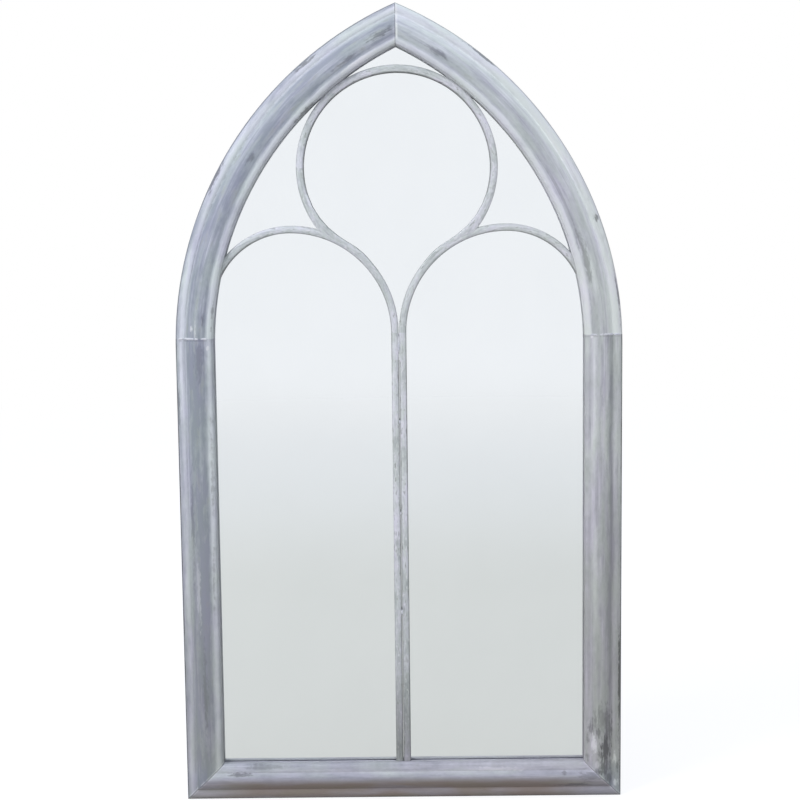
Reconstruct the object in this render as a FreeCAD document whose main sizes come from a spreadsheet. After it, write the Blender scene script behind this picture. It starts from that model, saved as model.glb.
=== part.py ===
import FreeCAD, Part
import os
import re

import Sketcher

# Gothic window mirror, in millimetres. The wall is the plane y = 0, the front looks towards -Y, the foot of
# the frame is z = 0 and the mirror is symmetrical about x = 0. Sizes across the moulding are counted inwards
# from its outer edge, and sizes through it forwards from the back of its flange.

DRIVING_SIZES = [
    # the frame as a whole
    ("width", 610, "outer width"),
    ("spring_height", 636, "foot to the springing line of the arch"),
    ("arch_radius", 501, "outer radius of each half of the arch"),
    ("butt_rise", 15, "joint of stile and arch over the springing line"),
    ("standoff", 7, "wall to the back of the frame"),
    # the rolled moulding
    ("sheet_gauge", 1, "thickness of the steel sheet"),
    ("flange_width", 24, "back flange"),
    ("wall_height", 13.5, "outer wall, up to the lip"),
    ("lip_width", 13.5, "rounded outer lip"),
    ("lip_foot", 15.5, "level of the quirk inside the lip"),
    ("lip_bulge", 2, "rise of the lip over its chord"),
    ("body_width", 26.5, "rounded middle of the face"),
    ("body_foot", 22.6, "level of the quirk between middle and bead"),
    ("body_bulge", 3.4, "rise of the middle over its chord"),
    ("bead_width", 9.5, "inner bead"),
    ("bead_foot", 21, "level where the bead runs into the slope"),
    ("bead_bulge", 1, "rise of the bead over its chord"),
    ("slope_width", 2.5, "slope from the bead to the sight edge"),
    ("sight_wall", 8, "upright edge at the glass"),
    ("seat_width", 8, "turned-back seat for the glass"),
    ("ridge_bend", 2, "outer radius of the sheet where it bends over a ridge"),
    ("valley_bend", 2.2, "outer radius of the sheet where it bends into a valley"),
    # the tracery
    ("bar_width", 10, "width of every tracery bar"),
    ("bar_thickness", 7, "height of a bar at its edges and crown together"),
    ("bar_crown", 1.2, "rise of the crown over the edges of a bar"),
    ("mullion_gap", 0.6, "groove between the two mullion bars"),
    ("lancet_radius", 146.5, "outer radius of a lancet head beside the mullion"),
    ("lancet_rise", 20, "springing of the lancets over the springing of the arch"),
    ("lancet_leg", 37, "straight foot of a lancet head, down to its joint with the mullion"),
    ("ring_lap", 5.3, "depth by which the oculus sinks into the lancet heads"),
    ("weld_gap", 0.2, "gap left at a welded end"),
    # the glass and what holds it
    ("glass_thickness", 3, "silvered glass"),
    ("glass_bite", 9, "glass hidden behind the sight edge"),
    ("seal_thickness", 1, "foam strip in front of the glass"),
    ("seal_width", 6, "width of the foam strip"),
    ("seal_setback", 0.4, "foam strip behind the sight edge"),
    ("tape_thickness", 1, "foam tape behind the glass"),
    ("tape_width", 24, "width of a tape strip"),
    ("tape_spacing", 160, "from one tape strip to the next"),
    ("tape_margin", 70, "end of a tape strip to the edge of the glass"),
    ("board_thickness", 3, "hardboard"),
    ("board_gap", 0.5, "board to flange"),
    # rivets, turn buttons, hangers and bumpers
    ("rivet_radius", 2, "shank"),
    ("rivet_head_radius", 4, "outer head"),
    ("rivet_head_height", 1.2, "outer head"),
    ("rivet_tail_radius", 3, "upset end inside the moulding"),
    ("rivet_tail_height", 1.5, "upset end inside the moulding"),
    ("rivet_clearance", 0.05, "shank to hole"),
    ("button_length", 36, "turn button, end to end"),
    ("button_width", 12, "turn button"),
    ("button_thickness", 1.5, "turn button"),
    ("button_play", 0.2, "turn button to flange and to rivet head"),
    ("button_low", 150, "lower button of a stile over the foot"),
    ("button_drop", 206, "upper button of a stile under the springing line"),
    ("button_spread", 150, "bottom buttons from the middle"),
    ("button_low_angle", 13, "lower button of an arch from its springing, degrees"),
    ("button_high_angle", 45, "upper button of an arch from its springing, degrees"),
    ("strap_width", 14, "hanger strap"),
    ("strap_thickness", 1.2, "hanger strap"),
    ("strap_length", 42, "hanger strap below its eye"),
    ("strap_first_rivet", 13, "upper rivet of a strap below its eye"),
    ("strap_second_rivet", 35, "lower rivet of a strap below its eye"),
    ("hanger_drop", 44, "eye of a hanger under the springing line"),
    ("ring_wire", 3, "wire diameter of a hanger ring"),
    ("ring_pin_play", 0.08, "wire to eye, all round"),
    ("ring_side_play", 1.5, "leg of a hanger ring to the end of its eye"),
    ("ring_corner", 2.4, "bend radius at the corners of a hanger ring"),
    ("ring_leg", 8, "straight leg of a hanger ring"),
    ("ring_lift", 0.3, "hanging ring to its strap"),
    ("bumper_foot_radius", 7, "bumper at the frame"),
    ("bumper_top_radius", 5.5, "bumper at the wall"),
    ("bumper_low", 62, "lower bumpers over the foot"),
    ("bumper_angle", 29, "upper bumpers from the springing, degrees"),
    # one overrun serves every cut
    ("overrun", 2, "length by which a cut passes the surface"),
]

SHOULDER_SHARE = 1.095

DERIVED_SIZES = [
    ("half_width", "width / 2"),
    ("arch_offset", "arch_radius - half_width"),
    ("face_width", "lip_width + body_width + bead_width + slope_width"),
    ("moulding_depth", "max(lip_foot + lip_bulge; body_foot + body_bulge; bead_foot + bead_bulge)"),
    ("flange_mid", "flange_width / 2"),
    ("flange_radius", "arch_radius - flange_mid"),
    ("glass_back", "board_thickness + tape_thickness"),
    ("glass_front", "glass_back + glass_thickness"),
    ("seat_level", "glass_front + seal_thickness"),
    ("glass_inset", "face_width - glass_bite"),
    ("seal_inner_inset", "face_width - seal_setback"),
    ("seal_outer_inset", "seal_inner_inset - seal_width"),
    ("board_inset", "flange_width + board_gap"),
    ("bar_middle", "(bar_width + mullion_gap) / 2"),
    ("lancet_offset", "lancet_radius + mullion_gap / 2"),
    ("lancet_level", "spring_height + lancet_rise"),
    ("lancet_joint", "lancet_level - lancet_leg"),
    ("lancet_mid_radius", "lancet_radius - bar_width / 2"),
    ("shoulder_mid_radius", f"{SHOULDER_SHARE} * (half_width - face_width - lancet_offset) - bar_width / 2"),
    # the oculus touches both sides of the arch and sinks into both lancets by ring_lap: two circle
    # conditions, which leave a quadratic for its height over the springing line
    ("sight_radius", "arch_radius - face_width - weld_gap"),
    ("lancet_reach", "lancet_radius - bar_width - ring_lap"),
    ("reach_sum", "sight_radius + lancet_reach"),
    ("oculus_base",
     "(sight_radius - lancet_reach - (arch_offset^2 - lancet_offset^2 - lancet_rise^2) / reach_sum) / 2"),
    ("oculus_tilt", "lancet_rise / reach_sum"),
    ("oculus_span", "sight_radius - oculus_base"),
    ("oculus_root",
     "sqrt(oculus_tilt^2 * oculus_span^2 - (1 - oculus_tilt^2) * (arch_offset^2 - oculus_span^2))"),
    ("oculus_rise", "(oculus_tilt * oculus_span + oculus_root) / (1 - oculus_tilt^2)"),
    ("oculus_radius", "oculus_base - oculus_tilt * oculus_rise"),
    ("oculus_level", "spring_height + oculus_rise"),
    ("hanger_height", "spring_height - hanger_drop"),
    ("eye_bore_radius", "ring_wire / 2 + ring_pin_play"),
    ("eye_radius", "eye_bore_radius + strap_thickness"),
    ("eye_level", "strap_thickness + ring_lift + ring_wire / 2"),
    ("ring_half_width", "strap_width / 2 + ring_side_play + ring_wire / 2"),
]

doc = FreeCAD.newDocument("window_mirror")
sheet = doc.addObject("Spreadsheet::Sheet", "sizes")


def fill_sheet():
    """One row for each driving size, then one for each size worked out from them."""
    row = 0
    for alias, number, note in DRIVING_SIZES:
        row += 1
        sheet.set(f"A{row}", str(number))
        sheet.set(f"B{row}", note)
        sheet.setAlias(f"A{row}", alias)
    for alias, formula in DERIVED_SIZES:
        row += 1
        sheet.set(f"A{row}", f"={formula}")
        sheet.setAlias(f"A{row}", alias)
    doc.recompute()


fill_sheet()
ALIASES = {entry[0] for entry in DRIVING_SIZES + DERIVED_SIZES}
X_AXIS = FreeCAD.Vector(1, 0, 0)
Y_AXIS = FreeCAD.Vector(0, 1, 0)
Z_AXIS = FreeCAD.Vector(0, 0, 1)
ORIGIN = FreeCAD.Vector(0, 0, 0)
FULL_TURN = 360
QUARTER_TURN = 90


def bound(text):
    """The same formula with every size named as a cell of the sheet."""
    return re.sub(r"[a-z_]+", lambda m: f"sizes.{m[0]}" if m[0] in ALIASES else m[0], text)


def value(text):
    return float(sheet.evalExpression(text))


def bind(thing, **formulas):
    """Binds properties such as Length, or x, y, z of the placement, to formulas of the sheet."""
    for name, text in formulas.items():
        path = f".Placement.Base.{name}" if name in ("x", "y", "z") else name
        thing.setExpression(path, bound(text))


def place(thing, x="0", y="0", z="0", axis=Y_AXIS, turn="0"):
    thing.Placement = FreeCAD.Placement(ORIGIN, FreeCAD.Rotation(axis, value(turn)))
    bind(thing, x=x, y=y, z=z)
    if turn != "0":
        thing.setExpression(".Placement.Rotation.Angle", bound(turn))
    return thing


def arc_between(start, end, radius):
    """The arc from start to end that bulges to the right of the way, up to half a circle."""
    chord = end - start
    middle = (start + end) * 0.5
    right = FreeCAD.Vector(chord.y, -chord.x, 0).normalize()
    depth = max(radius ** 2 - (chord.Length / 2) ** 2, 0) ** 0.5
    return Part.Arc(start, middle + right * (radius - depth), end)


def bulge_radius(start, end, bulge):
    """Formula for the radius of an arc that rises by bulge over the chord from start to end."""
    chord = f"((({end[0]}) - ({start[0]}))^2 + (({end[1]}) - ({start[1]}))^2)"
    return f"({chord} / (8 * ({bulge})) + ({bulge}) / 2)"


def fix_point(sketch, geometry, end, corner):
    """Holds one end of a line or arc at a corner that is given by two formulas."""
    for axis, kind, text in ((-2, "DistanceX", corner[0]), (-1, "DistanceY", corner[1])):
        if text == "0":
            sketch.addConstraint(Sketcher.Constraint("PointOnObject", geometry, end, axis))
        else:
            index = sketch.addConstraint(Sketcher.Constraint(kind, -1, 1, geometry, end, value(text)))
            sketch.setExpression(f"Constraints[{index}]", bound(text))


def draw(sketch, corners, arcs=None, closed=True):
    """Lines through the corners, or arcs where arcs gives a radius for the edge that starts there."""
    arcs = arcs or {}
    points = [FreeCAD.Vector(value(x), value(y), 0) for x, y in corners]
    edges = len(points) if closed else len(points) - 1
    starts, ends, first = [], [], sketch.GeometryCount
    for edge in range(edges):
        start, end = points[edge], points[(edge + 1) % len(points)]
        shape = arc_between(start, end, value(arcs[edge])) if edge in arcs else Part.LineSegment(start, end)
        index = sketch.addGeometry(shape, False)
        forward = (sketch.getPoint(index, 1) - start).Length <= (sketch.getPoint(index, 2) - start).Length
        starts.append(1 if forward else 2)
        ends.append(2 if forward else 1)
    for edge in range(edges if closed else edges - 1):
        following = (edge + 1) % edges
        sketch.addConstraint(
            Sketcher.Constraint("Coincident", first + edge, ends[edge], first + following, starts[following]))
    for edge in range(edges):
        fix_point(sketch, first + edge, starts[edge], corners[edge])
    if not closed:
        fix_point(sketch, first + edges - 1, ends[-1], corners[-1])
    for edge, radius in arcs.items():
        index = sketch.addConstraint(Sketcher.Constraint("Radius", first + edge, value(radius)))
        sketch.setExpression(f"Constraints[{index}]", bound(radius))
    return sketch


def draw_circle(sketch, radius):
    """A circle round the sketch's own origin."""
    index = sketch.addGeometry(Part.Circle(ORIGIN, Z_AXIS, value(radius)), False)
    sketch.addConstraint(Sketcher.Constraint("Coincident", index, 3, -1, 1))
    size = sketch.addConstraint(Sketcher.Constraint("Radius", index, value(radius)))
    sketch.setExpression(f"Constraints[{size}]", bound(radius))
    return sketch


def flat_sketch(name, y="0", x="0", z="0"):
    """A sketch that stands in the plane of the wall: its x runs along X and its y up Z."""
    return place(doc.addObject("Sketcher::SketchObject", name), x, y, z, X_AXIS, str(QUARTER_TURN))


def cross_sketch(name, x, z="0", back="0"):
    """A sketch across a bar: its x runs along X, its y forwards from the given level behind the front."""
    sketch = doc.addObject("Sketcher::SketchObject", name)
    return place(sketch, x, f"-standoff - ({back})", z, X_AXIS, str(2 * QUARTER_TURN))


def extrude(name, base, length, direction=None):
    """Solid of a flat shape drawn out along its own normal, or along a given direction."""
    solid = doc.addObject("Part::Extrusion", name)
    solid.Base = base
    solid.DirMode = "Normal" if direction is None else "Custom"
    if direction is not None:
        solid.Dir = direction
    solid.Solid = True
    bind(solid, LengthFwd=length)
    return solid


def revolve(name, source, x="0", angle=FULL_TURN):
    """Solid of a cross section turned about an axis that runs along Y through x."""
    solid = doc.addObject("Part::Revolution", name)
    solid.Source = source
    solid.Axis = Y_AXIS
    solid.Angle = angle
    solid.Solid = True
    if x != "0":
        solid.setExpression("Base.x", bound(x))
    return solid


def boolean(kind, name, base, tool):
    result = doc.addObject(f"Part::{kind}", name)
    result.Base = base
    result.Tool = tool
    return result


def group(name, members):
    compound = doc.addObject("Part::Compound", name)
    compound.Links = members
    return compound


def mirrored(name, source):
    """The same piece on the other side of the middle."""
    copy = doc.addObject("Part::Mirroring", name)
    copy.Source = source
    copy.Normal = X_AXIS
    copy.Base = ORIGIN
    return copy


def cylinder(name, radius, length, x, y, z, axis, turn):
    rod = doc.addObject("Part::Cylinder", name)
    bind(rod, Radius=radius, Height=length)
    return place(rod, x, y, z, axis, turn)


NODES = {}


def node(name, piece):
    """Names a finished piece: the name is its label and its file."""
    piece.Label = name
    NODES[name] = piece
    return piece


def arched(inset):
    """Corners and arcs of the pointed outline at a distance inside the outer edge of the frame."""
    side = f"(half_width - ({inset}))"
    radius = f"(arch_radius - ({inset}))"
    apex = f"spring_height + sqrt({radius}^2 - arch_offset^2)"
    corners = [(f"-{side}", inset), (side, inset), (side, "spring_height"), ("0", apex),
               (f"-{side}", "spring_height")]
    return corners, {2: radius, 3: radius}


def arched_plate(name, insets, back, thickness):
    """A flat sheet in the pointed outline, with a second outline inside it where two insets are given."""
    body = doc.addObject("PartDesign::Body", f"{name}_body")
    sketch = body.newObject("Sketcher::SketchObject", f"{name}_outline")
    sketch.AttachmentSupport = [(f, "") for f in body.Origin.OriginFeatures if f.Role == "XZ_Plane"]
    sketch.MapMode = "FlatFace"
    for inset in insets:
        draw(sketch, *arched(inset))
    pad = body.newObject("PartDesign::Pad", f"{name}_pad")
    pad.Profile = sketch
    bind(pad, Length=thickness)
    place(body, y=f"-standoff - ({back})")
    return node(name, body)


# Places of the fastenings on the left half of the back flange: x, z and the turn that points inwards.
ON_STILE = "flange_mid - half_width"


def on_arch(angle):
    x = f"arch_offset - flange_radius * cos({angle})"
    z = f"spring_height + flange_radius * sin({angle})"
    return x, z, angle


STILE_BUTTONS = [(ON_STILE, "button_low", "0"), (ON_STILE, "spring_height - button_drop", "0")]
ARCH_BUTTONS = [on_arch("button_low_angle"), on_arch("button_high_angle")]
RAIL_BUTTONS = [("-button_spread", "flange_mid", str(-QUARTER_TURN))]
STRAP_RIVETS = [(ON_STILE, "hanger_height - strap_first_rivet", "0"),
                (ON_STILE, "hanger_height - strap_second_rivet", "0")]
BUMPERS = [(ON_STILE, "bumper_low", "0"), on_arch("bumper_angle")]


def both_sides(places):
    """The places of the left half, each followed by its mirror image."""
    result = []
    for x, z, turn in places:
        result.append((x, z, turn))
        result.append((f"-({x})", z, f"{2 * QUARTER_TURN} - ({turn})"))
    return result


def rivet_holes(name, places):
    """Drills for the back flange, one at each place."""
    drills = []
    for x, z, _ in places:
        drills.append(cylinder(f"{name}_drill", "rivet_radius + rivet_clearance", "sheet_gauge + 2 * overrun",
                               x, "overrun - standoff", z, X_AXIS, str(QUARTER_TURN)))
    return group(f"{name}_drills", drills)


def offset(name, source, distance, fill=False):
    """A flat line moved inwards by a distance, or the band between the two lines."""
    moved = doc.addObject("Part::Offset2D", name)
    moved.Source = source
    moved.Mode = "Skin"
    moved.Join = "Arc"
    moved.Fill = fill
    bind(moved, Value=distance)
    return moved


def moulding_section():
    """The rolled sheet: its outer face as an open line, thickened inwards by the gauge of the sheet."""
    lip_end = "lip_width"
    body_end = "(lip_width + body_width)"
    bead_end = "(lip_width + body_width + bead_width)"
    face = [("face_width - seat_width", "seat_level"), ("face_width", "seat_level"),
            ("face_width", "seat_level + sight_wall"), (bead_end, "bead_foot"), (body_end, "body_foot"),
            (lip_end, "lip_foot"), ("0", "wall_height"), ("0", "0"), ("flange_width", "0")]
    bulges = {3: "bead_bulge", 4: "body_bulge", 5: "lip_bulge"}
    arcs = {edge: bulge_radius(face[edge], face[edge + 1], bulge) for edge, bulge in bulges.items()}
    line = cross_sketch("moulding_face_line", "-half_width")
    draw(line, face, arcs, closed=False)
    # moved in, out and back, the line stays where it was, but its ridges and valleys take their bend radii
    line = offset("ridges_rounded", line, "ridge_bend")
    line = offset("valleys_rounded", line, "-ridge_bend - valley_bend")
    line = offset("bent_face_line", line, "valley_bend")
    return offset("moulding_section", line, "sheet_gauge", fill=True)


def blank(name, corners):
    """A block that keeps one member of the frame and takes away what lies past its joints."""
    sketch = draw(flat_sketch(f"{name}_outline", "overrun - standoff"), corners)
    return extrude(name, sketch, "moulding_depth + 2 * overrun")


def frame_members():
    """Stiles, rail and arch halves from one section, mitred at the foot and the apex."""
    section = moulding_section()
    left_out, left_in = "-half_width - overrun", "face_width + overrun - half_width"
    over_face = "face_width + overrun"

    bend = revolve("arch_bend", section, "arch_offset", QUARTER_TURN)
    place(bend, z="spring_height")
    butt = "spring_height + butt_rise"

    straight = extrude("stile_straight", section, "spring_height", Z_AXIS)
    length = boolean("Fuse", "stile_length", straight, bend)
    corners = [(left_out, "-overrun"), (left_in, over_face), (left_in, butt), (left_out, butt)]
    mitred = boolean("Common", "stile_mitred", length, blank("stile_blank", corners))
    holes = rivet_holes("stile", STILE_BUTTONS + STRAP_RIVETS)
    stile = node("left_stile", boolean("Cut", "left_stile", mitred, holes))
    node("right_stile", mirrored("right_stile", stile))

    length = extrude("rail_length", section, "width", Z_AXIS)
    place(length, "half_width", "0", "half_width", Y_AXIS, str(-QUARTER_TURN))
    corners = [(left_out, "-overrun"), (f"-({left_out})", "-overrun"), (f"-({left_in})", over_face),
               (left_in, over_face)]
    mitred = boolean("Common", "rail_mitred", length, blank("rail_blank", corners))
    node("bottom_rail", boolean("Cut", "bottom_rail", mitred, rivet_holes("rail", both_sides(RAIL_BUTTONS))))

    over = "spring_height + arch_radius + overrun"
    corners = [(left_out, butt), ("0", butt), ("0", over), (left_out, over)]
    mitred = boolean("Common", "arch_mitred", bend, blank("arch_blank", corners))
    arch = node("left_arch", boolean("Cut", "left_arch", mitred, rivet_holes("arch", ARCH_BUTTONS)))
    node("right_arch", mirrored("right_arch", arch))


def bar_section(name, x, z):
    """Cross section of a tracery bar: flat on the glass, crowned in front."""
    edge = "bar_thickness - bar_crown"
    half = "bar_width / 2"
    corners = [(f"-{half}", "0"), (half, "0"), (half, edge), (f"-{half}", edge)]
    arcs = {2: bulge_radius(corners[2], corners[3], "bar_crown")}
    return draw(cross_sketch(name, x, z, "glass_front"), corners, arcs)


def tracery():
    """The mullion, lancet heads and oculus, all of one bar, standing on the glass."""
    bar = bar_section("mullion_section", "-bar_middle", "face_width + weld_gap")
    mullion = extrude("left_mullion_bar", bar, "lancet_joint - face_width - weld_gap", Z_AXIS)
    node("right_mullion_bar", mirrored("right_mullion_bar", node("left_mullion_bar", mullion)))

    crown = "lancet_level + lancet_mid_radius"
    path = [("-bar_middle", "lancet_joint"), ("-bar_middle", "lancet_level"), ("-lancet_offset", crown),
            ("-lancet_offset - shoulder_mid_radius", f"{crown} - shoulder_mid_radius")]
    spine = draw(flat_sketch("lancet_line", "-standoff - glass_front"), path,
                 {1: "lancet_mid_radius", 2: "shoulder_mid_radius"}, closed=False)
    bent = doc.addObject("Part::Sweep", "lancet_bent")
    bent.Sections = [bar_section("lancet_section", "-bar_middle", "lancet_joint")]
    bent.Spine = (spine, [f"Edge{edge + 1}" for edge in range(len(path) - 1)])
    bent.Solid = True
    bent.Frenet = False
    opening = draw(flat_sketch("sight_outline", "overrun - standoff"), *arched("face_width + weld_gap"))
    sight = extrude("sight_opening", opening, "glass_front + bar_thickness + 2 * overrun")
    lancet = node("left_lancet_head", boolean("Common", "left_lancet_head", bent, sight))
    node("right_lancet_head", mirrored("right_lancet_head", lancet))

    hoop = revolve("oculus_hoop", bar_section("oculus_section", "bar_width / 2 - oculus_radius", "0"))
    place(hoop, z="oculus_level")
    depth = "bar_thickness + 2 * overrun"
    back = "overrun - standoff - glass_front"
    cuts = []
    for x in ("-lancet_offset", "lancet_offset"):
        cuts.append(cylinder("oculus_run_out", "lancet_radius + weld_gap", depth, x, back, "lancet_level",
                             X_AXIS, str(QUARTER_TURN)))
    corners = [("-lancet_offset", "lancet_level"), ("lancet_offset", "lancet_level"), ("0", "oculus_level")]
    foot = draw(flat_sketch("oculus_foot_outline", back), corners)
    cuts.append(extrude("oculus_foot", foot, depth))
    node("oculus_ring", boolean("Cut", "oculus_ring", hoop, group("oculus_cuts", cuts)))


def glazing():
    """Glass, its foam seal, its tape and the board behind it."""
    arched_plate("mirror_glass", ["glass_inset"], "glass_back", "glass_thickness")
    arched_plate("glass_seal", ["seal_outer_inset", "seal_inner_inset"], "glass_front", "seal_thickness")
    arched_plate("backing_board", ["board_inset"], "0", "board_thickness")
    strips = []
    for column in (-1, 0, 1):
        strip = doc.addObject("Part::Box", "tape_strip")
        bind(strip, Length="tape_width", Width="tape_thickness",
             Height="spring_height - glass_inset - 2 * tape_margin")
        place(strip, f"{column} * tape_spacing - tape_width / 2", "-standoff - glass_back",
              "glass_inset + tape_margin")
        strips.append(strip)
    node("bonding_tape", group("bonding_tape", strips))


def rivet_profile(name, grip):
    """Half of a rivet that grips the flange and what lies on it: upset tail, shank and domed head."""
    tail = "-sheet_gauge - rivet_tail_height"
    top = f"({grip}) + rivet_head_height"
    corners = [("0", tail), ("rivet_tail_radius", tail), ("rivet_tail_radius", "-sheet_gauge"),
               ("rivet_radius", "-sheet_gauge"), ("rivet_radius", grip), ("rivet_head_radius", grip),
               ("0", top)]
    dome = "(rivet_head_radius^2 + rivet_head_height^2) / (2 * rivet_head_height)"
    return draw(doc.addObject("Sketcher::SketchObject", name), corners, {5: dome})


def turned_group(name, profile, places):
    """The same turned piece at each place on the back of the flange, as one group."""
    members = []
    for x, z, _ in places:
        members.append(place(revolve(f"{name}_piece", profile), x, "-standoff", z))
    return node(name, group(name, members))


def turn_button(name, x, z, turn):
    """A flat steel button with round ends, on its rivet near one end."""
    body = doc.addObject("PartDesign::Body", f"{name}_body")
    sketch = body.newObject("Sketcher::SketchObject", f"{name}_outline")
    sketch.AttachmentSupport = [(f, "") for f in body.Origin.OriginFeatures if f.Role == "XZ_Plane"]
    sketch.MapMode = "FlatFace"
    half = "button_width / 2"
    far = "button_length - button_width"
    corners = [("0", f"-{half}"), (far, f"-{half}"), (f"{far} + {half}", "0"), (far, half), ("0", half),
               (f"-{half}", "0")]
    draw(sketch, corners, {1: half, 2: half, 4: half, 5: half})
    draw_circle(sketch, "rivet_radius + rivet_clearance")
    pad = body.newObject("PartDesign::Pad", f"{name}_pad")
    pad.Profile = sketch
    bind(pad, Length="button_thickness")
    place(body, x, "button_play + button_thickness - standoff", z, Y_AXIS, turn)
    node(name, body)


def fastenings():
    """Turn buttons with their rivets, and the bumpers that meet the wall."""
    places = both_sides(STILE_BUTTONS + ARCH_BUTTONS + RAIL_BUTTONS)
    for number, (x, z, turn) in enumerate(places, 1):
        turn_button(f"turn_button_{number}", x, z, turn)
    grip = "button_thickness + 2 * button_play"
    turned_group("button_rivets", rivet_profile("button_rivet_profile", grip), places)
    corners = [("0", "0"), ("bumper_foot_radius", "0"), ("bumper_top_radius", "standoff"), ("0", "standoff")]
    pad = draw(doc.addObject("Sketcher::SketchObject", "bumper_profile"), corners)
    turned_group("wall_bumpers", pad, both_sides(BUMPERS))


def hanger_strap():
    """A strap riveted to the stile, rolled at its top into the eye for the ring."""
    half = "strap_width / 2"
    low = f"{half} - strap_length"
    corners = [(f"-{half}", low), ("0", "-strap_length"), (half, low), (half, "0"), (f"-{half}", "0")]
    plate_line = draw(flat_sketch("strap_outline", "strap_thickness - standoff", ON_STILE, "hanger_height"),
                      corners, {0: half, 1: half})
    plate = extrude("strap_plate", plate_line, "strap_thickness")
    eye_y = "eye_level - standoff"
    roll = cylinder("strap_roll", "eye_radius", "strap_width", f"{ON_STILE} - {half}", eye_y, "hanger_height",
                    Y_AXIS, str(QUARTER_TURN))
    bore = cylinder("strap_bore", "eye_bore_radius", "strap_width + 2 * overrun",
                    f"{ON_STILE} - {half} - overrun", eye_y, "hanger_height", Y_AXIS, str(QUARTER_TURN))
    drills = []
    for x, z, _ in STRAP_RIVETS:
        drills.append(cylinder("strap_drill", "rivet_radius + rivet_clearance",
                               "strap_thickness + 2 * overrun", x, "strap_thickness + overrun - standoff", z,
                               X_AXIS, str(QUARTER_TURN)))
    folded = boolean("Fuse", "strap_folded", plate, roll)
    return boolean("Cut", "left_hanger_strap", folded, group("strap_cuts", [bore] + drills))


def hanger_ring():
    """A D of round wire whose straight side lies in the eye and whose round side hangs down."""
    straight = "ring_half_width - ring_corner"
    knee = "-ring_corner"
    foot = "-ring_corner - ring_leg"
    path = [("0", "0"), (f"-({straight})", "0"), ("-ring_half_width", knee), ("-ring_half_width", foot),
            ("0", f"{foot} - ring_half_width"), ("ring_half_width", foot), ("ring_half_width", knee),
            (straight, "0")]
    centre_y = "eye_level - standoff"
    spine = draw(flat_sketch("ring_line", centre_y, ON_STILE, "hanger_height"), path,
                 {1: "ring_corner", 3: "ring_half_width", 4: "ring_half_width", 6: "ring_corner"})
    wire = doc.addObject("Sketcher::SketchObject", "ring_wire_section")
    place(wire, ON_STILE, centre_y, "hanger_height", Y_AXIS, str(QUARTER_TURN))
    draw_circle(wire, "ring_wire / 2")
    ring = doc.addObject("Part::Sweep", "left_hanger_ring")
    ring.Sections = [wire]
    ring.Spine = (spine, [f"Edge{edge + 1}" for edge in range(len(path))])
    ring.Solid = True
    ring.Frenet = False
    return ring


def hangers():
    """A riveted strap and a swinging ring on each stile."""
    for piece in (hanger_strap(), hanger_ring()):
        name = piece.Name.removeprefix("left_")
        node(f"left_{name}", piece)
        node(f"right_{name}", mirrored(f"right_{name}", piece))
    profile = rivet_profile("hanger_rivet_profile", "strap_thickness")
    turned_group("hanger_rivets", profile, both_sides(STRAP_RIVETS))


def check_all():
    """Stops if any object failed or any piece is empty or broken."""
    doc.recompute()
    failed = [thing.Name for thing in doc.Objects if {"Invalid", "Error"} & set(thing.State)]
    if failed:
        raise RuntimeError(f"failed objects: {failed}")
    for name, piece in NODES.items():
        if piece.Shape.isNull() or not piece.Shape.isValid() or not piece.Shape.Solids:
            raise RuntimeError(f"bad shape: {name}")


frame_members()
tracery()
glazing()
fastenings()
hangers()
check_all()
os.makedirs("parts", exist_ok=True)
for name, piece in NODES.items():
    piece.Shape.exportStep(f"parts/{name}.step")
    print(f"{name}: {len(piece.Shape.Solids)} solids, {piece.Shape.Volume:.1f} mm3")
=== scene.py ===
import math

import bpy
from mathutils import Matrix, Vector


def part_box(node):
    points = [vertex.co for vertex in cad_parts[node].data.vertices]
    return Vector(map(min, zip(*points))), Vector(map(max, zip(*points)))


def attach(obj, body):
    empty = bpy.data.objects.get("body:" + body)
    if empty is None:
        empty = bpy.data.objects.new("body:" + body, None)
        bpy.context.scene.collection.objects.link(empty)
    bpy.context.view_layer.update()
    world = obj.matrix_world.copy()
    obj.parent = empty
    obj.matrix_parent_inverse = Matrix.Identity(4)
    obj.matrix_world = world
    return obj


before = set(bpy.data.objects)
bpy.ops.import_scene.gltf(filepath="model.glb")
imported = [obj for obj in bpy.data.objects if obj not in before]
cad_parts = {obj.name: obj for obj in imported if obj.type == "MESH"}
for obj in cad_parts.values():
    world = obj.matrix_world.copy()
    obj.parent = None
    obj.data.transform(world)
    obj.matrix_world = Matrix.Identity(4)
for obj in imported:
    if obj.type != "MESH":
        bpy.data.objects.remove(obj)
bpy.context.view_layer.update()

bpy.ops.object.select_all(action="DESELECT")


# The frame: five lengths of steel sheet rolled to one moulding, mitred at the foot and at the apex, butted at
# the springing and welded. It is primed blue-grey, brushed with thin whitewash along its length, and rubbed
# back until the primer shows on the hollow parts and bare steel shows along the sharp edges. Its colour also
# carries painted shade: darker towards the foot, under the rail, along the sight edge and under the joint fillers.
MM = 1000
stile_run_on = 15
outer_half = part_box("right_stile")[1].x * MM
butt_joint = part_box("left_stile")[1].z * MM
springing = butt_joint - stile_run_on
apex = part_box("left_arch")[1].z * MM
arch_radius = ((apex - springing) ** 2 + outer_half ** 2) / (2 * outer_half)
arch_offset = arch_radius - outer_half
face_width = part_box("bottom_rail")[1].z * MM
lip_crest, lip_inside = 8.0, 15.0
quirk, bead_crest = 36.0, 43.0
lip_corner = 20.4
sight_corner = 23.0
flange_back = 7.0
butt_line_drop = 2.4

PRIMER = (0.27, 0.305, 0.37, 1)
WASH = (0.715, 0.757, 0.83, 1)
WASH_STONE = (0.975, 1.012, 0.945, 1)
WASH_LILAC = (1.02, 0.985, 1.055, 1)
CHALK = (0.83, 0.85, 0.88, 1)
# bare steel where the wash is rubbed through; the same dark is also laid on as painted shade
BARE_STEEL_AND_SHADE = (0.095, 0.096, 0.108, 1)
LEAD_GREY = (0.31, 0.34, 0.34, 1)
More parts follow.
